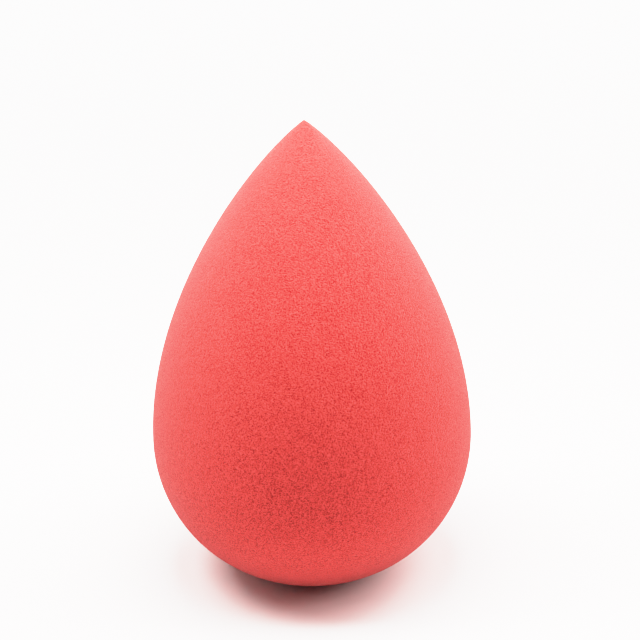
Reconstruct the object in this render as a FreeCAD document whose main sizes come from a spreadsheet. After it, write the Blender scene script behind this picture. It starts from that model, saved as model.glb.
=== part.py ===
import FreeCAD, Part
import math
import os
import Sketcher
from enum import IntEnum

# Makeup sponge: a teardrop of soft open-cell foam that stands on the settled foot of its rounded base.
# The origin is the centre of that foot, +Z runs up through the pointed tip, and -Y is the front.
# Lengths are in millimetres and angles in degrees.
# The foam is one piece. It is held here as the three zones that give in different ways when it is used:
# the rounded base is pressed flat, the belly is what the fingers hold, and the pointed tip bends over.

DRIVING_SIZES = [
    ("sponge_height", 60.0, "table to the end of the tip"),
    ("belly_diameter", 40.0, "across the widest circle"),
    ("belly_height", 18.0, "table to the widest circle, where the base ends"),
    ("foot_diameter", 12.0, "flat that the foam settles to under its own weight"),
    ("tip_length", 16.0, "end of the tip down to the neck, where the tip bends"),
    ("tip_half_angle", 50.0, "between the axis and the taper, at the tip"),
    ("tip_round_radius", 0.2, "rounding of the end of the tip"),
    ("shoulder_pull_share", 0.44, "how far the belly runs straight up, of the height of the taper"),
    ("tip_pull_share", 0.2, "how far the tip runs straight down its side, of the height of the taper"),
]

# Places in the section, as radius and height, worked out from the driving sizes
BELLY_RADIUS = "Sizes.belly_diameter / 2"
FOOT_RADIUS = "Sizes.foot_diameter / 2"
BASE_REACH = f"({BELLY_RADIUS} - {FOOT_RADIUS})"
BASE_ROUND_RADIUS = f"(({BASE_REACH} ^ 2 + Sizes.belly_height ^ 2) / (2 * {BASE_REACH}))"
TAPER_HEIGHT = "(Sizes.sponge_height - Sizes.belly_height)"
NECK_HEIGHT = "Sizes.sponge_height - Sizes.tip_length"
TIP_SINE = "sin(Sizes.tip_half_angle)"
TIP_COSINE = "cos(Sizes.tip_half_angle)"
TIP_PULL = f"Sizes.tip_pull_share * {TAPER_HEIGHT}"
TIP_ROUND_CENTRE_HEIGHT = "Sizes.sponge_height - Sizes.tip_round_radius"
TAPER_END_RADIUS = f"Sizes.tip_round_radius * {TIP_COSINE}"
TAPER_END_HEIGHT = f"{TIP_ROUND_CENTRE_HEIGHT} + Sizes.tip_round_radius * {TIP_SINE}"
TAPER_POLES = [
    (BELLY_RADIUS, "Sizes.belly_height"),
    (BELLY_RADIUS, f"Sizes.belly_height + Sizes.shoulder_pull_share * {TAPER_HEIGHT}"),
    (f"{TAPER_END_RADIUS} + {TIP_PULL} * {TIP_SINE}", f"{TAPER_END_HEIGHT} - {TIP_PULL} * {TIP_COSINE}"),
    (TAPER_END_RADIUS, TAPER_END_HEIGHT),
]


class Vertex(IntEnum):
    """Numbers of an edge's vertices in a sketch."""

    START = 1
    END = 2
    CENTRE = 3


class Own(IntEnum):
    """Numbers of a sketch's own origin and upright axis, as edges."""

    ORIGIN = -1
    AXIS = -2


def size_sheet(doc):
    """The spreadsheet of driving sizes: name, value and meaning in each row."""
    sheet = doc.addObject("Spreadsheet::Sheet", "Sizes")
    for row, (name, value, meaning) in enumerate(DRIVING_SIZES, start=1):
        sheet.set(f"A{row}", name)
        sheet.set(f"B{row}", str(value))
        sheet.setAlias(f"B{row}", name)
        sheet.set(f"C{row}", meaning)
    doc.recompute()
    return sheet


def spot(sheet, radius, height):
    """The point of a section at a radius and a height, each a formula in the sheet's sizes."""
    return FreeCAD.Vector(sheet.evalExpression(radius), sheet.evalExpression(height), 0)


def section_sketch(body, name):
    """An empty sketch on the body's own XZ plane: across is the radius, up is the height."""
    plane = next(f for f in body.Origin.OriginFeatures if f.Role == "XZ_Plane")
    sketch = body.newObject("Sketcher::SketchObject", name)
    sketch.AttachmentSupport = [(plane, "")]
    sketch.MapMode = "FlatFace"
    return sketch


def hold(sheet, sketch, name, direction, edge, vertex, formula):
    """Dimensions a vertex from the sketch's origin and binds the dimension to the sheet."""
    value = sheet.evalExpression(formula)
    index = sketch.addConstraint(
        Sketcher.Constraint(direction, Own.ORIGIN, Vertex.START, edge, vertex, value)
    )
    sketch.renameConstraint(index, name)
    sketch.setExpression(f"Constraints.{name}", formula)


def join(sketch, *pairs):
    """Makes each pair of (edge, vertex) ends meet."""
    for (edge, vertex), (other_edge, other_vertex) in pairs:
        sketch.addConstraint(Sketcher.Constraint("Coincident", edge, vertex, other_edge, other_vertex))


def revolve(body, sketch, name):
    """Turns a section once round the sketch's upright axis."""
    turned = body.newObject("PartDesign::Revolution", name)
    turned.Profile = sketch
    turned.ReferenceAxis = (sketch, ["V_Axis"])
    body.Tip = turned


def rounded_base(doc, sheet):
    """Foot, base arc up to the widest circle, and the level face where the belly begins."""
    body = doc.addObject("PartDesign::Body", "rounded_base")
    sketch = section_sketch(body, "base_section")
    middle = FreeCAD.Vector(0, 0, 0)
    foot_edge = spot(sheet, FOOT_RADIUS, "0")
    widest = spot(sheet, BELLY_RADIUS, "Sizes.belly_height")
    seam_middle = spot(sheet, "0", "Sizes.belly_height")
    arc_centre = spot(sheet, f"{BELLY_RADIUS} - {BASE_ROUND_RADIUS}", "Sizes.belly_height")
    down_to_foot = foot_edge - arc_centre
    circle = Part.Circle(arc_centre, FreeCAD.Vector(0, 0, 1), down_to_foot.Length)
    foot_turn = math.atan2(down_to_foot.y, down_to_foot.x)

    foot = sketch.addGeometry(Part.LineSegment(middle, foot_edge))
    side = sketch.addGeometry(Part.ArcOfCircle(circle, foot_turn, 0))
    seam = sketch.addGeometry(Part.LineSegment(widest, seam_middle))
    axis = sketch.addGeometry(Part.LineSegment(seam_middle, middle))
    join(
        sketch,
        ((foot, Vertex.START), (Own.ORIGIN, Vertex.START)),
        ((foot, Vertex.END), (side, Vertex.START)),
        ((side, Vertex.END), (seam, Vertex.START)),
        ((seam, Vertex.END), (axis, Vertex.START)),
        ((axis, Vertex.END), (foot, Vertex.START)),
    )
    sketch.addConstraint(Sketcher.Constraint("Horizontal", foot))
    sketch.addConstraint(Sketcher.Constraint("Horizontal", seam))
    sketch.addConstraint(Sketcher.Constraint("Vertical", axis))
    # The arc's centre lies level with the widest circle, so the side stands upright there
    sketch.addConstraint(Sketcher.Constraint("Horizontal", side, Vertex.CENTRE, side, Vertex.END))
    hold(sheet, sketch, "foot_radius", "DistanceX", foot, Vertex.END, FOOT_RADIUS)
    hold(sheet, sketch, "belly_radius", "DistanceX", side, Vertex.END, BELLY_RADIUS)
    hold(sheet, sketch, "belly_height", "DistanceY", side, Vertex.END, "Sizes.belly_height")
    revolve(body, sketch, "base_turned")
    return body


def taper(doc, sheet):
    """The sponge above its widest circle: one curve in to the tip, and the tip's small rounding."""
    body = doc.addObject("PartDesign::Body", "taper")
    sketch = section_sketch(body, "taper_section")
    poles = [spot(sheet, *pole) for pole in TAPER_POLES]
    curve = Part.BezierCurve()
    curve.setPoles(poles)
    seam_middle = spot(sheet, "0", "Sizes.belly_height")
    tip_end = spot(sheet, "0", "Sizes.sponge_height")
    round_centre = spot(sheet, "0", TIP_ROUND_CENTRE_HEIGHT)
    circle = Part.Circle(round_centre, FreeCAD.Vector(0, 0, 1), (tip_end - round_centre).Length)
    out_to_taper = poles[-1] - round_centre
    taper_turn = math.atan2(out_to_taper.y, out_to_taper.x)

    side = sketch.addGeometry(curve.toBSpline())
    tip_round = sketch.addGeometry(Part.ArcOfCircle(circle, taper_turn, math.pi / 2))
    axis = sketch.addGeometry(Part.LineSegment(tip_end, seam_middle))
    seam = sketch.addGeometry(Part.LineSegment(seam_middle, poles[0]))
    first_pole = sketch.GeometryCount
    sketch.exposeInternalGeometry(side)
    for number, (radius, height) in enumerate(TAPER_POLES):
        hold(sheet, sketch, f"pole_{number}_radius", "DistanceX", first_pole + number, Vertex.CENTRE, radius)
        hold(sheet, sketch, f"pole_{number}_height", "DistanceY", first_pole + number, Vertex.CENTRE, height)
    join(
        sketch,
        ((side, Vertex.END), (tip_round, Vertex.START)),
        ((tip_round, Vertex.END), (axis, Vertex.START)),
        ((axis, Vertex.END), (seam, Vertex.START)),
        ((seam, Vertex.END), (side, Vertex.START)),
    )
    sketch.addConstraint(Sketcher.Constraint("Horizontal", seam))
    sketch.addConstraint(Sketcher.Constraint("PointOnObject", seam, Vertex.START, Own.AXIS))
    sketch.addConstraint(Sketcher.Constraint("PointOnObject", tip_round, Vertex.CENTRE, Own.AXIS))
    sketch.addConstraint(Sketcher.Constraint("PointOnObject", tip_round, Vertex.END, Own.AXIS))
    hold(sheet, sketch, "tip_round_centre", "DistanceY", tip_round, Vertex.CENTRE, TIP_ROUND_CENTRE_HEIGHT)
    revolve(body, sketch, "taper_turned")
    return body


def belly_and_tip(doc, taper_body):
    """Parts the taper at the neck: the belly below it, the pointed tip above."""
    above_neck = doc.addObject("Part::Cylinder", "above_neck")
    above_neck.setExpression("Radius", BELLY_RADIUS)
    above_neck.setExpression("Height", "Sizes.sponge_height")
    above_neck.setExpression("Placement.Base.z", NECK_HEIGHT)
    belly = doc.addObject("Part::Cut", "belly")
    belly.Base = taper_body
    belly.Tool = above_neck
    tip = doc.addObject("Part::Common", "pointed_tip")
    tip.Base = taper_body
    tip.Tool = above_neck
    return belly, tip


def check(doc, sub_parts):
    """Stops if any object failed to build or a sub-part isn't one sound solid."""
    failed = [o.Name for o in doc.Objects if {"Invalid", "Error"} & set(o.State)]
    if failed:
        raise RuntimeError(f"failed to build: {failed}")
    for sub_part in sub_parts:
        shape = sub_part.Shape
        if shape.isNull() or not shape.isValid() or len(shape.Solids) != 1:
            raise RuntimeError(f"{sub_part.Label} is not one sound solid")


def main():
    doc = FreeCAD.newDocument("makeup_sponge")
    sheet = size_sheet(doc)
    base = rounded_base(doc, sheet)
    belly, tip = belly_and_tip(doc, taper(doc, sheet))
    sub_parts = [base, belly, tip]
    doc.recompute()
    check(doc, sub_parts)
    os.makedirs("parts", exist_ok=True)
    for sub_part in sub_parts:
        sub_part.Shape.exportStep(f"parts/{sub_part.Label}.step")
        print(f"{sub_part.Label}: {sub_part.Shape.Volume:.1f} mm3")


main()
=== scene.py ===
"""Makeup sponge: one teardrop of coral-red foam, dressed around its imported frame.

The foam is one uncut piece. Two closed surfaces show it, parted at the widest circle, where its side stands
upright: the base, which is pressed flatter when the sponge is dabbed, and the belly with the pointed tip,
which bends over. Lengths are in metres. Angles are in degrees.
"""

import logging
import math
from dataclasses import dataclass
from enum import Enum
from functools import cached_property

import bpy
import numpy as np
from mathutils import Matrix, Vector


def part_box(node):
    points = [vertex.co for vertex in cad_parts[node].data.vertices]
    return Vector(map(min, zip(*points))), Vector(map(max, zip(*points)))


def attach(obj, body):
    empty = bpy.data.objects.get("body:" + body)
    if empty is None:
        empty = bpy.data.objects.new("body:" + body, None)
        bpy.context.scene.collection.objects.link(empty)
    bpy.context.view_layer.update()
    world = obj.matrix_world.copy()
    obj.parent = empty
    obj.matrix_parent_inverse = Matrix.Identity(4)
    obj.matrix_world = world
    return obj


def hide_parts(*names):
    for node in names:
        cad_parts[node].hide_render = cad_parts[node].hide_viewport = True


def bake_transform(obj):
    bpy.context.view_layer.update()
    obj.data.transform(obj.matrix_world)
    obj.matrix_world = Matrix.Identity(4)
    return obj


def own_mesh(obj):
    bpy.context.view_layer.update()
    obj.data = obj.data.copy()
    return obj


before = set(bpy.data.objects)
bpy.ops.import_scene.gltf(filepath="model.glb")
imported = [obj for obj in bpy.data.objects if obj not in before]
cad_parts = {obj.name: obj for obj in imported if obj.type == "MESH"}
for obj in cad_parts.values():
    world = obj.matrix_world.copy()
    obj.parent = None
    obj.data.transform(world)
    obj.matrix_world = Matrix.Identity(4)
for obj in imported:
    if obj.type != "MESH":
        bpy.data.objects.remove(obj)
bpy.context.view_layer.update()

log = logging.getLogger("makeup sponge")

BAKE_MAP = "OFBake"
PORE_FIELD = "pore"
COMBINED_CURVE = 3

Colour = tuple[float, float, float]
Place = tuple[float, float, float]
Pair = tuple[float, float]
Socket = bpy.types.NodeSocket

WHITE: Colour = (1.0, 1.0, 1.0)


class Zone(Enum):
    """The zones of the foam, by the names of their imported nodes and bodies."""

    BASE = "rounded_base"
    BELLY = "belly"
    TIP = "pointed_tip"


class MixKind(Enum):
    """What a mix works on: the mix node's word for it, and the ending of its sockets' identifiers."""

    NUMBER = ("FLOAT", "Float")
    COLOUR = ("RGBA", "Color")


@dataclass(frozen=True)
class Section:
    """Half outline of a piece, as points (radius, height) along it.

    Attributes:
        points: The outline from the widest circle to the axis, in order, as an (n, 2) array.
    """

    points: np.ndarray

    @property
    def distances(self) -> np.ndarray:
        """Length along the outline up to each point: the running sum of the steps between points."""
        steps = np.hypot(*np.diff(self.points, axis=0).T)
        return np.concatenate([[0.0], np.cumsum(steps)])

    def at(self, distances: np.ndarray) -> tuple[np.ndarray, np.ndarray]:
        """Reads the outline at distances along it.

        The outward direction is the outline's own direction turned by a quarter turn, away from the axis.

        Args:
            distances: Lengths along the outline from the widest circle.

        Returns:
            The points (radius, height) there, and the unit outward directions, as two (n, 2) arrays.
        """
        known = self.distances
        ahead = np.gradient(self.points, known, axis=0)
        outward = np.stack([ahead[:, 1], -ahead[:, 0]], axis=1)
        outward *= np.sign(outward[0, 0])
        points = np.stack([np.interp(distances, known, column) for column in self.points.T], axis=1)
        directions = np.stack([np.interp(distances, known, column) for column in outward.T], axis=1)
        return points, directions / np.linalg.norm(directions, axis=1, keepdims=True)


@dataclass(frozen=True)
class Teardrop:
    """Sizes of the sponge's outline, and the two half outlines that they give.

    Attributes:
        belly_radius: Half the width of the widest circle.
        belly_height: Table to the widest circle, where the base ends.
        neck_height: Table to the neck, about which the tip bends. Not used.
        height: Table to the end of the tip.
        foot_radius: Half the width of the flat that the foam settles to.
        foot_softness: How gently the foam lifts off the table at the foot's edge.
        tip_half_angle: Between the axis and the taper, at the tip.
        tip_round_radius: Rounding of the end of the tip.
        shoulder_pull_share: How far the belly runs straight up, of the height of the taper.
        tip_pull_share: How far the tip runs straight down its side, of the height of the taper.
        samples: Points on each of the two long curves.
        round_samples: Points on the rounding of the tip.
    """

    belly_radius: float
    belly_height: float
    neck_height: float
    height: float
    foot_radius: float = 0.006
    foot_softness: float = 0.0001
    tip_half_angle: float = 50.0
    tip_round_radius: float = 0.0002
    shoulder_pull_share: float = 0.44
    tip_pull_share: float = 0.2
    samples: int = 2000
    round_samples: int = 100

    @classmethod
    def from_frame(cls) -> "Teardrop":
        """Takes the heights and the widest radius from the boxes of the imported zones."""
        base, belly, tip = (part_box(zone.value)[1] for zone in Zone)
        return cls(max(base.x, base.y), base.z, belly.z, tip.z)

    def base_section(self) -> Section:
        """The base, from the widest circle down and in to the middle of the foot.

        A circle's arc starts upright at the widest circle and meets the table at the foot's edge. Its radius
        is (reach squared + height squared) / (2 * reach), where reach is how far the belly stands out past
        the foot. The foam settles on the table: its height is the soft greater of the arc's height a and
        none, half of a + root(a squared + softness squared).

        Returns:
            The half outline, with its lowest point on the table.
        """
        reach = self.belly_radius - self.foot_radius
        arc_radius = (reach**2 + self.belly_height**2) / (2 * reach)
        arc_middle = self.belly_radius - arc_radius
        turn = np.linspace(0.0, math.acos(-arc_middle / arc_radius), self.samples)
        radius = arc_middle + arc_radius * np.cos(turn)
        height = self.belly_height - arc_radius * np.sin(turn)
        settled = (height + np.hypot(height, self.foot_softness)) / 2
        settled = (settled - settled[-1]) * self.belly_height / (settled[0] - settled[-1])
        return Section(np.stack([np.maximum(radius, 0.0), settled], axis=1))

    def taper_section(self) -> Section:
        """The belly and the tip, from the widest circle up and in to the end of the tip.

        A cubic curve leaves the widest circle straight up and comes in to the tip along a cone of the tip's
        half angle. Each pull is a share of the taper's height. A small arc then rounds the end over to the
        axis.

        Returns:
            The half outline.
        """
        taper_height = self.height - self.belly_height
        angle = math.radians(self.tip_half_angle)
        down_the_tip = np.array([math.sin(angle), -math.cos(angle)])
        start = np.array([self.belly_radius, self.belly_height])
        round_middle = np.array([0.0, self.height - self.tip_round_radius])
        end = round_middle + self.tip_round_radius * np.array([math.cos(angle), math.sin(angle)])
        shoulder = start + np.array([0.0, self.shoulder_pull_share * taper_height])
        pull = end + self.tip_pull_share * taper_height * down_the_tip
        t = np.linspace(0.0, 1.0, self.samples)[:, None]
        s = 1 - t
        curve = s**3 * start + 3 * s**2 * t * shoulder + 3 * s * t**2 * pull + t**3 * end
        turn = np.linspace(angle, math.pi / 2, self.round_samples)[1:]
        rounding = round_middle + self.tip_round_radius * np.stack([np.cos(turn), np.sin(turn)], axis=1)
        rounding[-1, 0] = 0.0
        return Section(np.concatenate([curve, rounding]))


@dataclass(frozen=True)
class PoreRelief:
    """Open cells at the skin of the foam: round pits of uneven width and depth, sunk into the outline.

    Attributes:
        cell: Side of the cubes of space that hold one pit each.
        pit_radius: Least and greatest radius of a pit.
        pit_depth: Least and greatest depth of a pit.
        seed: Where the random draws start.
        table_side: Cubes along each side of the table of pits, which repeats beyond it.
    """

    cell: float
    pit_radius: Pair
    pit_depth: Pair
    seed: int
    table_side: int = 48

    def depth_at(self, places: np.ndarray) -> np.ndarray:
        """Works out how deep the pits are at places.

        Space is divided into cubes, and each cube holds one pit at a random place of its own, with a random
        radius and depth. The depth's share between its limits is squared, so most pits are shallow. Within a
        pit's radius its bowl is depth * (1 - (distance / radius) squared) squared. The depth at a place is
        the deepest bowl of its own cube and the 26 round it.

        Args:
            places: Points in the part's frame, as an (n, 3) array.

        Returns:
            Depths, as an array of n lengths.
        """
        draw = np.random.default_rng(self.seed)
        shape = (self.table_side,) * 3
        middles = draw.random(shape + (3,))
        radii = draw.uniform(*self.pit_radius, shape) / self.cell
        shares = draw.uniform(0.0, 1.0, shape) ** 2
        shallowest, deepest = self.pit_depth
        depths = shallowest + (deepest - shallowest) * shares
        scaled = places / self.cell
        cube = np.floor(scaled).astype(int)
        found = np.zeros(len(places))
        for step in np.ndindex(3, 3, 3):
            near = cube + np.array(step) - 1
            key = tuple((near % self.table_side).T)
            away = np.linalg.norm(near + middles[key] - scaled, axis=1) / radii[key]
            bowl = depths[key] * np.clip(1 - away**2, 0.0, None) ** 2
            found = np.maximum(found, bowl)
        return found


@dataclass(frozen=True)
class Rings:
    """Rings of points round the axis, numbered ring by ring from the widest one in.

    Attributes:
        distances: Each ring's distance along the outline.
        counts: Each ring's count of points, which is that of the ring before it or half of that.
    """

    distances: np.ndarray
    counts: np.ndarray

    @cached_property
    def starts(self) -> np.ndarray:
        """Number of each ring's first point: the sum of the counts before it."""
        return np.cumsum(self.counts) - self.counts

    @cached_property
    def ring(self) -> np.ndarray:
        """Number of the ring that each point is on."""
        return np.repeat(np.arange(len(self.counts)), self.counts)

    @cached_property
    def inner(self) -> np.ndarray:
        """Number of the ring inside each point's own, or of its own on the last ring."""
        return np.minimum(self.ring + 1, len(self.counts) - 1)

    @cached_property
    def column(self) -> np.ndarray:
        """Number of steps round its ring to each point."""
        return np.arange(len(self.ring)) - self.starts[self.ring]

    @cached_property
    def following(self) -> np.ndarray:
        """Number of the next point round each point's ring."""
        return self.starts[self.ring] + (self.column + 1) % self.counts[self.ring]

    @cached_property
    def spread(self) -> np.ndarray:
        """Direction from the axis to each point: (cos a, sin a), where a is its share of a full turn."""
        turn = 2 * math.pi * self.column / self.counts[self.ring]
        return np.stack([np.cos(turn), np.sin(turn)], axis=1)

    def turned(self, pairs: np.ndarray) -> np.ndarray:
        """Turns a pair (out, up) for each ring round the axis: (out cos a, out sin a, up) at each point."""
        return np.concatenate([self.spread * pairs[self.ring, :1], pairs[self.ring, 1:]], axis=1)

    def quads(self) -> np.ndarray:
        """Joins rings of the same count: each point, the one after it, and the two inside them.

        Returns:
            Faces of four points, as an (n, 4) array.
        """
        count = self.counts[self.ring]
        v = np.flatnonzero((self.counts[self.inner] == count) & (self.inner > self.ring))
        after, step = self.following[v], count[v]
        return np.stack([v, after, after + step, v + step], axis=1)

    def stitches(self) -> np.ndarray:
        """Joins a ring to one of half its count, with three triangles to each pair of steps.

        Returns:
            Faces of three points, as an (n, 3) array.
        """
        halved = self.counts[self.inner] < self.counts[self.ring]
        v = np.flatnonzero(halved & (self.column % 2 == 0))
        inner_start, inner_count = self.starts[self.inner[v]], self.counts[self.inner[v]]
        near = inner_start + self.column[v] // 2
        far = inner_start + (self.column[v] // 2 + 1) % inner_count
        middle, last = v + 1, self.following[v + 1]
        kinds = ((v, middle, near), (middle, last, far), (middle, far, near))
        return np.concatenate([np.stack(kind, axis=1) for kind in kinds])

    def fan(self, ring: int, hub: int) -> np.ndarray:
        """Closes a ring on one point: each point, the one after it, and the hub.

        Args:
            ring: The ring's number.
            hub: The number of the point in its middle.

        Returns:
            Faces of three points, as an (n, 3) array.
        """
        v = np.flatnonzero(self.ring == ring)
        return np.stack([v, self.following[v], np.full(len(v), hub)], axis=1)


@dataclass(frozen=True)
class FoamSurface:
    """A closed surface of foam, as arrays.

    Attributes:
        points: Places of its points, those of the rim first, as an (n, 3) array.
        depth: How deep the pores are at each point.
        flat: Each point's place on a round flat map, as an (n, 2) array.
        quads: Faces of four points.
        triangles: Faces of three points, those of the level cap last.
        rim_count: Count of points on the rim, and of faces in the cap.
    """

    points: np.ndarray
    depth: np.ndarray
    flat: np.ndarray
    quads: np.ndarray
    triangles: np.ndarray
    rim_count: int


@dataclass
class FoamPiece:
    """One closed piece of the sponge's foam, between the widest circle and one end of the axis.

    Attributes:
        name: The piece's name.
        section: Its half outline, from the widest circle in to the axis.
        cap_height: Height of the level cap that closes it at the widest circle.
        pores: The pits in its skin.
        pitch: Distance from ring to ring along the outline.
        crowding: Share of the pitch that the points of a ring keep apart.
        rim_count: Points on the widest ring.
        most_halvings: How often that count is halved at most.
        map_middle: Middle of the flat map, both across and up.
        map_reach: Half the width of the flat map.
        cap_map_middle: Middle of the cap's own small map, in a corner of the flat map.
        cap_map_reach: Half the width of the cap's map.
    """

    name: str
    section: Section
    cap_height: float
    pores: PoreRelief
    pitch: float = 0.00021
    crowding: float = 0.7
    rim_count: int = 640
    most_halvings: int = 7
    map_middle: float = 0.5
    map_reach: float = 0.49
    cap_map_middle: float = 0.08
    cap_map_reach: float = 0.06

    def rings(self) -> Rings:
        """Sets out the rings of the surface.

        Rings follow each other one pitch apart along the outline. Each has the rim's count of points, halved
        as often as its points would otherwise stand closer than the crowding share of the pitch.

        Returns:
            The rings, up to the last one before the axis.
        """
        length = self.section.distances[-1]
        distances = np.linspace(0.0, length, round(length / self.pitch) + 1)[:-1]
        points, _ = self.section.at(distances)
        crowd = self.rim_count * self.crowding * self.pitch / (2 * math.pi * points[:, 0])
        halvings = np.clip(np.ceil(np.log2(crowd)), 0, self.most_halvings).astype(int)
        return Rings(distances, self.rim_count >> halvings)

    def surface(self) -> FoamSurface:
        """Works out the points and faces.

        A point of radius r and height h on the outline, at a turn a round the axis, is (r cos a, r sin a,
        h), moved against the outward direction by the depth of the pores there. The last ring closes on the
        axis, and a level cap closes the rim. On the flat map a point lies in its own direction from the
        middle, at a share of the map's reach: the share of the outline that runs on from it to the axis.

        Returns:
            The surface, with its faces outwards.
        """
        rings = self.rings()
        end = self.section.distances[-1]
        outline, outward = self.section.at(np.append(rings.distances, end))
        hubs = np.array([[0.0, 0.0, outline[-1, 1]], [0.0, 0.0, self.cap_height]])
        points = np.concatenate([rings.turned(outline), hubs])
        away = np.concatenate([rings.turned(outward), np.zeros_like(hubs)])
        depth = self.pores.depth_at(points)
        depth[-len(hubs):] = 0.0
        points -= away * depth[:, None]

        end_hub = len(rings.ring)
        cap_hub = end_hub + 1
        closing = rings.fan(len(rings.counts) - 1, end_hub)
        cap = rings.fan(0, cap_hub)[:, [1, 0, 2]]
        quads, triangles = rings.quads(), np.concatenate([rings.stitches(), closing, cap])
        if outline[-1, 1] < outline[0, 1]:
            quads, triangles = quads[:, ::-1], triangles[:, ::-1]

        reach = self.map_reach * (1 - rings.distances / end)
        flat = self.map_middle + rings.spread * reach[rings.ring, None]
        flat = np.concatenate([flat, np.full((len(hubs), 2), self.map_middle)])
        return FoamSurface(points, depth, flat, quads, triangles, int(rings.counts[0]))

    def build(self) -> bpy.types.Object:
        """Puts the surface into a mesh, smooth all over but for the edge of its cap.

        Returns:
            The piece's object, at the origin.
        """
        surface = self.surface()
        mesh = bpy.data.meshes.new(self.name)
        corners = np.concatenate([surface.quads.ravel(), surface.triangles.ravel()]).astype(np.int32)
        sides = np.repeat([4, 3], [len(surface.quads), len(surface.triangles)])
        mesh.vertices.add(len(surface.points))
        mesh.vertices.foreach_set("co", surface.points.astype(np.float32).ravel())
        mesh.loops.add(len(corners))
        mesh.loops.foreach_set("vertex_index", corners)
        mesh.polygons.add(len(sides))
        mesh.polygons.foreach_set("loop_start", (np.cumsum(sides) - sides).astype(np.int32))
        mesh.update(calc_edges=True)
        mesh.shade_smooth()
        self.mark(mesh, surface)
        self.unroll(mesh, surface, corners)
        piece = bpy.data.objects.new(self.name, mesh)
        bpy.context.scene.collection.objects.link(piece)
        return piece

    def mark(self, mesh: bpy.types.Mesh, surface: FoamSurface) -> None:
        """Marks the rim's edges as sharp, and keeps each point's pore depth as a share of the deepest pit.

        Args:
            mesh: The mesh that holds the surface.
            surface: The surface.
        """
        ends = np.empty(2 * len(mesh.edges), np.int32)
        mesh.edges.foreach_get("vertices", ends)
        sharp = (ends.reshape(-1, 2) < surface.rim_count).all(axis=1)
        mesh.attributes.new("sharp_edge", "BOOLEAN", "EDGE").data.foreach_set("value", sharp)
        shares = (surface.depth / self.pores.pit_depth[1]).astype(np.float32)
        mesh.attributes.new(PORE_FIELD, "FLOAT", "POINT").data.foreach_set("value", shares)

    def unroll(self, mesh: bpy.types.Mesh, surface: FoamSurface, corners: np.ndarray) -> None:
        """Gives each corner its place on the flat map. The cap has a small map of its own, seen from above.

        Args:
            mesh: The mesh that holds the surface.
            surface: The surface.
            corners: The number of the point at each corner of the faces, in order.
        """
        places = surface.flat[corners]
        cap_corners = 3 * surface.rim_count
        cap = surface.points[corners[-cap_corners:], :2] / np.abs(surface.points[:, :2]).max()
        places[-cap_corners:] = self.cap_map_middle + self.cap_map_reach * cap
        mesh.uv_layers.new(name=BAKE_MAP).uv.foreach_set("vector", places.astype(np.float32).ravel())


@dataclass(frozen=True)
class Bench:
    """Places nodes in one shader tree and wires them up.

    Attributes:
        tree: The shader tree.
    """

    tree: bpy.types.ShaderNodeTree

    @classmethod
    def cleared(cls, owner: bpy.types.Material | bpy.types.World) -> "Bench":
        """Starts on the empty shader tree of a new material or world.

        Args:
            owner: The material or world.

        Returns:
            The bench.
        """
        owner.use_nodes = True
        owner.node_tree.nodes.clear()
        return cls(owner.node_tree)

    def put(self, kind: str, inlets: dict[str, object], **settings: object) -> bpy.types.Node:
        """Places a node.

        Args:
            kind: The node's type, without its ShaderNode prefix.
            inlets: What goes into it, by socket identifier: a value, or another node's output to wire in.
            settings: The node's own properties.

        Returns:
            The node.
        """
        node = self.tree.nodes.new("ShaderNode" + kind)
        for name, value in settings.items():
            setattr(node, name, value)
        by_name = {socket.identifier: socket for socket in node.inputs}
        for name, value in inlets.items():
            if isinstance(value, Socket):
                self.tree.links.new(value, by_name[name])
            else:
                by_name[name].default_value = value
        return node

    def sum_of(self, start: float, *parts: tuple[Socket, float]) -> Socket:
        """Adds weighted outputs to a starting value: start + each part times its weight.

        Args:
            start: The value to add to.
            parts: Outputs with their weights.

        Returns:
            The output that holds the sum.
        """
        total: object = start
        for socket, weight in parts:
            inlets = {"Value": socket, "Value_001": weight, "Value_002": total}
            total = self.put("Math", inlets, operation="MULTIPLY_ADD").outputs["Value"]
        return total

    def product_of(self, one: Socket, other: Socket) -> Socket:
        """Multiplies two outputs."""
        inlets = {"Value": one, "Value_001": other}
        return self.put("Math", inlets, operation="MULTIPLY").outputs["Value"]

    def ease(self, value: Socket, span: Pair, result: Pair) -> Socket:
        """Eases from one result to another as a value crosses a span, level at both ends.

        Args:
            value: The output that holds the value.
            span: The values at which the result starts and stops changing.
            result: The results at the start and the end of the span.

        Returns:
            The output that holds the result.
        """
        names = ("From Min", "From Max", "To Min", "To Max")
        inlets = dict(zip(names, span + result)) | {"Value": value}
        return self.put("MapRange", inlets, interpolation_type="SMOOTHSTEP").outputs["Result"]

    def mix(self, kind: MixKind, share: Socket, low: object, high: object) -> Socket:
        """Mixes two numbers or two colours.

        Args:
            kind: Which of them are mixed.
            share: The output that holds how much of the high one there is, held between 0 and 1.
            low: What there is at a share of 0, or an output that holds it.
            high: What there is at a share of 1, or an output that holds it.

        Returns:
            The output that holds the mix.
        """
        data_type, ending = kind.value
        inlets = {"Factor_Float": share, f"A_{ending}": low, f"B_{ending}": high}
        node = self.put("Mix", inlets, data_type=data_type)
        return next(socket for socket in node.outputs if socket.identifier == f"Result_{ending}")


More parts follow.
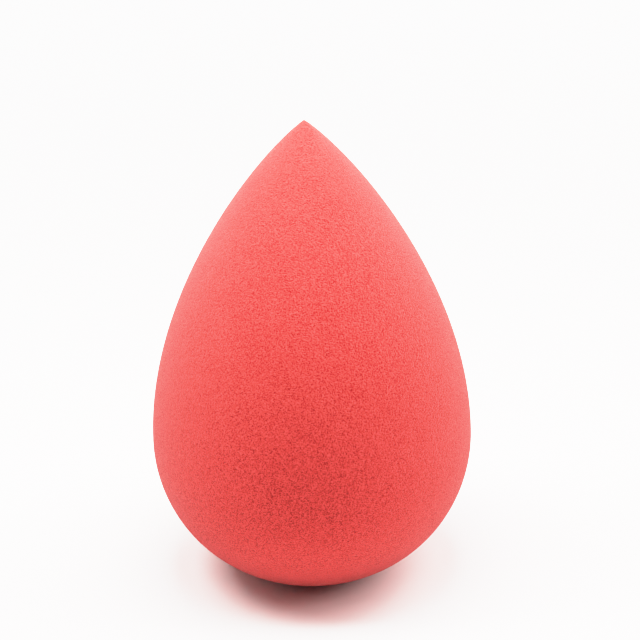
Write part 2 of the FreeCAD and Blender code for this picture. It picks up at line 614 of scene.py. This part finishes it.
@dataclass(frozen=True)
class FoamFinish:
    """Matte coral-red foam: fine open cells, with painted shade in their depths and painted glints on the
    highest crests, and a pale bloom.

    Scales are in repeats to a metre. A contrast is how far its part of the grain moves the whole, and a
    middle is the value about which it does so.

    Attributes:
        name: The material's name.
        crest_colour: Colour of the foam between the cells.
        pit_shade_colour: Painted shade in the depths of the cells and pores: a darker, redder colour.
        painted_glint_colour: Colour of the painted glints: pale specks where the highest crests would catch
            the light.
        painted_glint_grain: Grain at which the painted glints begin, and at which they are full.
        grain_middle: Value about which the whole grain lies.
        noise_middle: Value about which a noise lies.
        cell_scale, cell_contrast, cell_middle: The fine round cells, a relief that is also painted darker in
            its depths as shade.
        cell_mouth: Distances from a cell's middle at which it begins and stops rising to its crest.
        crinkle_scale, crinkle_detail, crinkle_contrast: The crinkle, finer than the cells.
        patch_scale, patch_detail, patch_contrast: The broad faint patches.
        pore_shade_contrast, pore_shade_middle: Painted shade in the mesh's own pores, darker where they are
            deeper.
        faded_grain: Even value to which the grain fades.
        foot_fade: Heights between which the grain comes up from the foot.
        foot_grain: Share of the grain that is left at the foot.
        tip_fade: Heights between which the grain goes down to the tip.
        tip_grain: Share of the grain that is left at the tip.
        bump_distance, bump_strength: Relief of the fine grain.
        roughness, specular: Gloss of the foam.
        sheen, sheen_roughness, sheen_tint: The bloom at grazing angles.
    """

    name: str = "coral_foam"
    crest_colour: Colour = (0.86, 0.07, 0.0632)
    pit_shade_colour: Colour = (0.38, 0.0115, 0.0105)
    painted_glint_colour: Colour = (0.91, 0.086, 0.0785)
    painted_glint_grain: Pair = (0.8, 1.3)
    grain_middle: float = 0.5
    noise_middle: float = 0.5
    cell_scale: float = 4600.0
    cell_contrast: float = 0.85
    cell_middle: float = 0.75
    cell_mouth: Pair = (0.15, 0.48)
    crinkle_scale: float = 5600.0
    crinkle_detail: float = 1.0
    crinkle_contrast: float = 2.0
    patch_scale: float = 300.0
    patch_detail: float = 2.0
    patch_contrast: float = 0.15
    pore_shade_contrast: float = 0.2
    pore_shade_middle: float = 0.3
    faded_grain: float = 0.58
    foot_fade: Pair = (0.0045, 0.0095)
    foot_grain: float = 0.22
    tip_fade: Pair = (0.04, 0.058)
    tip_grain: float = 0.62
    bump_distance: float = 0.00005
    bump_strength: float = 1.0
    roughness: float = 0.92
    specular: float = 0.15
    sheen: float = 0.17
    sheen_roughness: float = 0.5
    sheen_tint: Colour = (1.0, 0.76, 0.74)

    def fine_grain(self, bench: Bench, place: Socket) -> Socket:
        """Adds up the fine grain: round cells and a finer crinkle, each about its middle value.

        Args:
            bench: Where the nodes go.
            place: The output that holds the Object coordinates.

        Returns:
            The output that holds the fine grain.
        """
        voronoi = bench.put("TexVoronoi", {"Vector": place, "Scale": self.cell_scale})
        cells = bench.ease(voronoi.outputs["Distance"], self.cell_mouth, (0.0, 1.0))
        crinkle_inlets = {"Vector": place, "Scale": self.crinkle_scale, "Detail": self.crinkle_detail}
        crinkle = bench.put("TexNoise", crinkle_inlets).outputs["Fac"]
        middle = self.cell_contrast * self.cell_middle + self.crinkle_contrast * self.noise_middle
        weighted = (cells, self.cell_contrast), (crinkle, self.crinkle_contrast)
        return bench.sum_of(self.grain_middle - middle, *weighted)

    def whole_grain(self, bench: Bench, place: Socket, fine: Socket) -> Socket:
        """Adds broad patches and the pores' painted shade to the fine grain, and fades it at the foot and
        the tip.

        Args:
            bench: Where the nodes go.
            place: The output that holds the Object coordinates.
            fine: The output that holds the fine grain.

        Returns:
            The output that holds the whole grain.
        """
        patch_inlets = {"Vector": place, "Scale": self.patch_scale, "Detail": self.patch_detail}
        patches = bench.put("TexNoise", patch_inlets).outputs["Fac"]
        pore = bench.put("Attribute", {}, attribute_name=PORE_FIELD).outputs["Fac"]
        # the mesh's pores pull the grain down: painted shade in the pits
        full = bench.sum_of(
            self.pore_shade_contrast * self.pore_shade_middle - self.patch_contrast * self.noise_middle,
            (fine, 1.0),
            (patches, self.patch_contrast),
            (pore, -self.pore_shade_contrast),
        )
        height = bench.put("SeparateXYZ", {"Vector": place}).outputs["Z"]
        near_foot = bench.ease(height, self.foot_fade, (self.foot_grain, 1.0))
        near_tip = bench.ease(height, self.tip_fade, (1.0, self.tip_grain))
        strength = bench.product_of(near_foot, near_tip)
        return bench.mix(MixKind.NUMBER, strength, self.faded_grain, full)

    def material(self) -> bpy.types.Material:
        """Builds the foam's material.

        The whole grain runs the colour from painted shade, in the depths of the cells and the mesh's pores,
        to the foam's own colour on their crests, and on to painted glints where it is highest. The fine
        grain is the relief.

        Returns:
            The material, on Object coordinates and the mesh's own pore depths.
        """
        made = bpy.data.materials.new(self.name)
        bench = Bench.cleared(made)
        place = bench.put("TexCoord", {}).outputs["Object"]
        fine = self.fine_grain(bench, place)
        grain = self.whole_grain(bench, place, fine)
        # painted glints: the highest crests of the grain turn pale, as if they caught the light
        painted_glints = bench.ease(grain, self.painted_glint_grain, (0.0, 1.0))
        # painted shade: the colour darkens towards a painted shade colour in the depths of the cells and
        # pores
        foam = bench.mix(MixKind.COLOUR, grain, (*self.pit_shade_colour, 1.0), (*self.crest_colour, 1.0))
        relief = {"Strength": self.bump_strength, "Distance": self.bump_distance, "Height": fine}
        shader = bench.put(
            "BsdfPrincipled",
            {
                "Base Color": bench.mix(MixKind.COLOUR, painted_glints, foam, (*self.painted_glint_colour, 1.0)),
                "Roughness": self.roughness,
                "Specular IOR Level": self.specular,
                "Sheen Weight": self.sheen,
                "Sheen Roughness": self.sheen_roughness,
                "Sheen Tint": (*self.sheen_tint, 1.0),
                "Normal": bench.put("Bump", relief).outputs["Normal"],
            },
        )
        bench.put("OutputMaterial", {"Surface": shader.outputs["BSDF"]})
        return made


@dataclass
class Sponge:
    """The whole sponge: its outline, its pores, and the two pieces that show its foam.

    Attributes:
        outline: The teardrop.
        finish: The foam's finish.
        pores: The pits in its skin.
        bend_span: Height over which the foam bends, half of it below the neck and half above. Not used.
        fill: How full the foam is, from slack at 0 to tight at 1. Not used.
    """

    outline: Teardrop
    finish: FoamFinish
    pores: PoreRelief
    bend_span: float = 0.03
    fill: float = 0.9

    def base(self) -> FoamPiece:
        """The foam below the widest circle."""
        section = self.outline.base_section()
        return FoamPiece("sponge_base", section, self.outline.belly_height, self.pores)

    def belly_and_tip(self) -> FoamPiece:
        """The foam above the widest circle."""
        section = self.outline.taper_section()
        return FoamPiece("sponge_belly_and_tip", section, self.outline.belly_height, self.pores)

    def dress(self) -> list[bpy.types.Object]:
        """Builds both pieces, gives them their finish and ties the base to the frame.

        The belly and tip are left at the origin, not tied to the frame.

        Returns:
            The two pieces.
        """
        material = self.finish.material()
        base, taper = self.base().build(), self.belly_and_tip().build()
        for piece in (base, taper):
            piece.data.materials.append(material)
        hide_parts(Zone.BASE.value)
        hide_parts(Zone.BELLY.value, Zone.TIP.value)

        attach(base, Zone.BASE.value)
        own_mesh(base)
        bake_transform(taper)
        return [base, taper]


@dataclass(frozen=True)
class Softbox:
    """A soft square lamp: its place, the point that it faces, the length of its side and its watts."""

    name: str
    place: Place
    aim: Place
    side: float
    power: float

    def build(self) -> bpy.types.Object:
        """Hangs the lamp at its place, facing its aim.

        Returns:
            The lamp's object.
        """
        lamp = bpy.data.lights.new(self.name, "AREA")
        lamp.shape = "SQUARE"
        lamp.size = self.side
        lamp.energy = self.power
        made = bpy.data.objects.new(self.name, lamp)
        made.location = self.place
        made.rotation_euler = (Vector(self.aim) - made.location).to_track_quat("-Z", "Y").to_euler()
        made.visible_camera = False
        bpy.context.scene.collection.objects.link(made)
        return made


@dataclass(frozen=True)
class PaperFinish:
    """Matte white paper, which shows brighter than the light that it throws back at the sponge.

    Attributes:
        name: The material's name.
        shown_colour: The paper's colour as it is seen, a little warm: painted red bounce light from the foam
            in the shadow under it.
        bounce_colour: Its colour in the light that it throws back.
        roughness, specular: Gloss of the paper.
        glow_colour, glow: A glow of its own that keeps it pale far out, where the lamps don't reach.
        glow_radii: Distances from the middle at which the glow begins, and at which it is full.
    """

    name: str = "pale_paper"
    shown_colour: Colour = (0.95, 0.865, 0.845)
    bounce_colour: Colour = (0.645, 0.642, 0.64)
    roughness: float = 1.0
    specular: float = 0.0
    glow_colour: Colour = WHITE
    glow: float = 1.5
    glow_radii: Pair = (0.04, 0.3)

    def material(self) -> bpy.types.Material:
        """Builds the paper's material.

        A ray that comes straight from the camera meets the shown colour, and any other the bounce colour.
        The glow rises smoothly from none at the first of its radii to its full strength at the second. It
        shows but lights nothing.

        Returns:
            The material, on Object coordinates.
        """
        made = bpy.data.materials.new(self.name)
        bench = Bench.cleared(made)
        place = bench.put("TexCoord", {}).outputs["Object"]
        radius = bench.put("VectorMath", {"Vector": place}, operation="LENGTH").outputs["Value"]
        glow = bench.ease(radius, self.glow_radii, (0.0, self.glow))
        seen = bench.put("LightPath", {}).outputs["Is Camera Ray"]
        # the shown colour is a little warm: painted red bounce light from the foam in the shadow under the
        # sponge
        bounced, shown = (*self.bounce_colour, 1.0), (*self.shown_colour, 1.0)
        shader = bench.put(
            "BsdfPrincipled",
            {
                "Base Color": bench.mix(MixKind.COLOUR, seen, bounced, shown),
                "Roughness": self.roughness,
                "Specular IOR Level": self.specular,
                "Emission Color": (*self.glow_colour, 1.0),
                "Emission Strength": bench.product_of(glow, seen),
            },
        )
        bench.put("OutputMaterial", {"Surface": shader.outputs["BSDF"]})
        return made


@dataclass(frozen=True)
class Floor:
    """A level disc of paper under the sponge.

    Attributes:
        paper: The paper's finish.
        radius: From the middle to the edge.
        rings: Rings of points round the middle.
        columns: Points on each ring.
    """

    paper: PaperFinish
    radius: float = 3.0
    rings: int = 12
    columns: int = 96

    def build(self) -> bpy.types.Object:
        """Lays the floor: rings of points (r cos a, r sin a, 0), evenly spaced and closed at the middle.

        Returns:
            The floor's object.
        """
        radius = self.radius * np.linspace(0.0, 1.0, self.rings + 1)[1:, None]
        turn = 2 * math.pi * np.arange(self.columns) / self.columns
        across, along = radius * np.cos(turn), radius * np.sin(turn)
        rings = np.stack([across, along, np.zeros_like(across)], axis=-1)
        points = np.concatenate([np.zeros((1, 3)), rings.reshape(-1, 3)])
        column = np.arange(self.columns)
        after = (column + 1) % self.columns
        inner = 1 + self.columns * np.arange(self.rings - 1)[:, None]
        outer = inner + self.columns
        quads = np.stack([inner + column, outer + column, outer + after, inner + after], axis=-1)
        middle = np.stack([np.zeros_like(column), 1 + column, 1 + after], axis=-1)
        mesh = bpy.data.meshes.new("floor")
        mesh.from_pydata(points.tolist(), [], quads.reshape(-1, 4).tolist() + middle.tolist())
        mesh.materials.append(self.paper.material())
        floor = bpy.data.objects.new("floor", mesh)
        bpy.context.scene.collection.objects.link(floor)
        return floor


@dataclass(frozen=True)
class Camera:
    """The camera, in front of the sponge and above the table.

    Attributes:
        aim: The point in the middle of the picture.
        elevation: How far above level the camera looks down from.
        roll: How far it is turned about its own line of sight.
        distance: From the aim to the camera.
        focal_pixels: Focal length, in pixels of the picture.
        picture_pixels: Width of the picture.
        sensor_mm: Width of the sensor, in millimetres.
        near_clip: Distance at which things begin to show.
    """

    aim: Place = (0.00134, 0.0, 0.0335)
    elevation: float = 24.2
    roll: float = -1.37
    distance: float = 0.4
    focal_pixels: float = 3229.0
    picture_pixels: float = 640.0
    sensor_mm: float = 36.0
    near_clip: float = 0.01

    def build(self) -> bpy.types.Object:
        """Sets the camera at its distance from the aim, and makes it the scene's own.

        Returns:
            The camera's object.
        """
        rise, roll = math.radians(self.elevation), math.radians(self.roll)
        back = Vector((0.0, -math.cos(rise), math.sin(rise)))
        level, up = Vector((1.0, 0.0, 0.0)), Vector((0.0, math.sin(rise), math.cos(rise)))
        right = math.cos(roll) * level + math.sin(roll) * up
        top = math.cos(roll) * up - math.sin(roll) * level
        turned = Matrix((right, top, back)).transposed().to_4x4()
        lens = bpy.data.cameras.new("camera")
        lens.sensor_width = self.sensor_mm
        lens.lens = self.sensor_mm * self.focal_pixels / self.picture_pixels
        lens.clip_start = self.near_clip
        made = bpy.data.objects.new("camera", lens)
        made.matrix_world = Matrix.Translation(Vector(self.aim) + back * self.distance) @ turned
        bpy.context.scene.collection.objects.link(made)
        bpy.context.scene.camera = made
        return made


@dataclass(frozen=True)
class Studio:
    """The room round the sponge: its floor, its lamps, its camera and how bright the picture is.

    Attributes:
        floor: The paper floor.
        camera: The camera.
        softboxes: The lamps.
        sky_colour: Colour of the room's even light.
        sky_strength: Strength of that light.
        wall_strength: How bright the room looks behind it all.
        shoulder: Light in the scene, and how bright it is shown.
    """

    floor: Floor
    camera: Camera
    softboxes: tuple[Softbox, ...]
    sky_colour: Colour = WHITE
    sky_strength: float = 0.1
    wall_strength: float = 1.7
    shoulder: tuple[Pair, ...] = (
        (0.3, 0.3),
        (0.6, 0.6),
        (0.72, 0.72),
        (0.85, 0.805),
        (1.0, 0.87),
        (1.2, 0.91),
        (1.5, 0.935),
        (2.0, 0.96),
        (3.0, 0.985),
    )

    def sky(self) -> None:
        """Fills the room with a little even light, and puts a wall as pale as the floor behind it all."""
        world = bpy.data.worlds.new("room")
        bench = Bench.cleared(world)
        seen = bench.put("LightPath", {}).outputs["Is Camera Ray"]
        strength = bench.sum_of(self.sky_strength, (seen, self.wall_strength - self.sky_strength))
        room = bench.put("Background", {"Color": (*self.sky_colour, 1.0), "Strength": strength})
        bench.put("OutputWorld", {"Surface": room.outputs["Background"]})
        bpy.context.scene.world = world

    def exposure(self) -> None:
        """Shows light as it is up to the shoulder, and rolls brighter light off softly towards white."""
        view = bpy.context.scene.view_settings
        view.view_transform = "Standard"
        view.use_curve_mapping = True
        *rising, (brightest, top) = self.shoulder
        view.curve_mapping.white_level = (brightest,) * 3
        curve = view.curve_mapping.curves[COMBINED_CURVE]
        curve.points[-1].location = (1.0, top)
        for light, shown in rising:
            curve.points.new(light / brightest, shown)
        view.curve_mapping.update()

    def build(self) -> None:
        """Lays the floor, lights the room, and sets the camera and the exposure."""
        self.floor.build()
        self.sky()
        for softbox in self.softboxes:
            softbox.build()
        self.camera.build()
        self.exposure()


PORES = PoreRelief(cell=0.0004, pit_radius=(0.00018, 0.00032), pit_depth=(0.000005, 0.000035), seed=11)

MIDDLE: Place = (0.0, 0.0, 0.03)
SOFTBOXES = (
    Softbox("right_box", (0.78, 0.0, 0.48), MIDDLE, 0.5, 5.75),
    Softbox("right_back_box", (0.55, 0.55, 0.48), MIDDLE, 0.5, 2.9),
    Softbox("left_box", (-0.78, 0.0, 0.48), MIDDLE, 0.5, 1.32),
    Softbox("near_left_box", (-0.143, 0.0, 0.235), MIDDLE, 0.12, 0.77),
    Softbox("near_right_box", (0.143, 0.0, 0.235), MIDDLE, 0.12, 0.41),
    Softbox("tip_box", (0.0, 0.0, 0.15), MIDDLE, 0.08, 0.365),
)


def main() -> None:
    """Builds the sponge and the studio round it, and reports each piece."""
    logging.basicConfig(level=logging.INFO, format="%(name)s: %(message)s")
    sponge = Sponge(Teardrop.from_frame(), FoamFinish(), PORES)
    for piece in sponge.dress():
        points, faces = len(piece.data.vertices), len(piece.data.polygons)
        log.info("%s has %d points and %d faces", piece.name, points, faces)
    Studio(Floor(PaperFinish()), Camera(), SOFTBOXES).build()
    log.info("the studio is set")


if __name__ == "__main__":
    main()
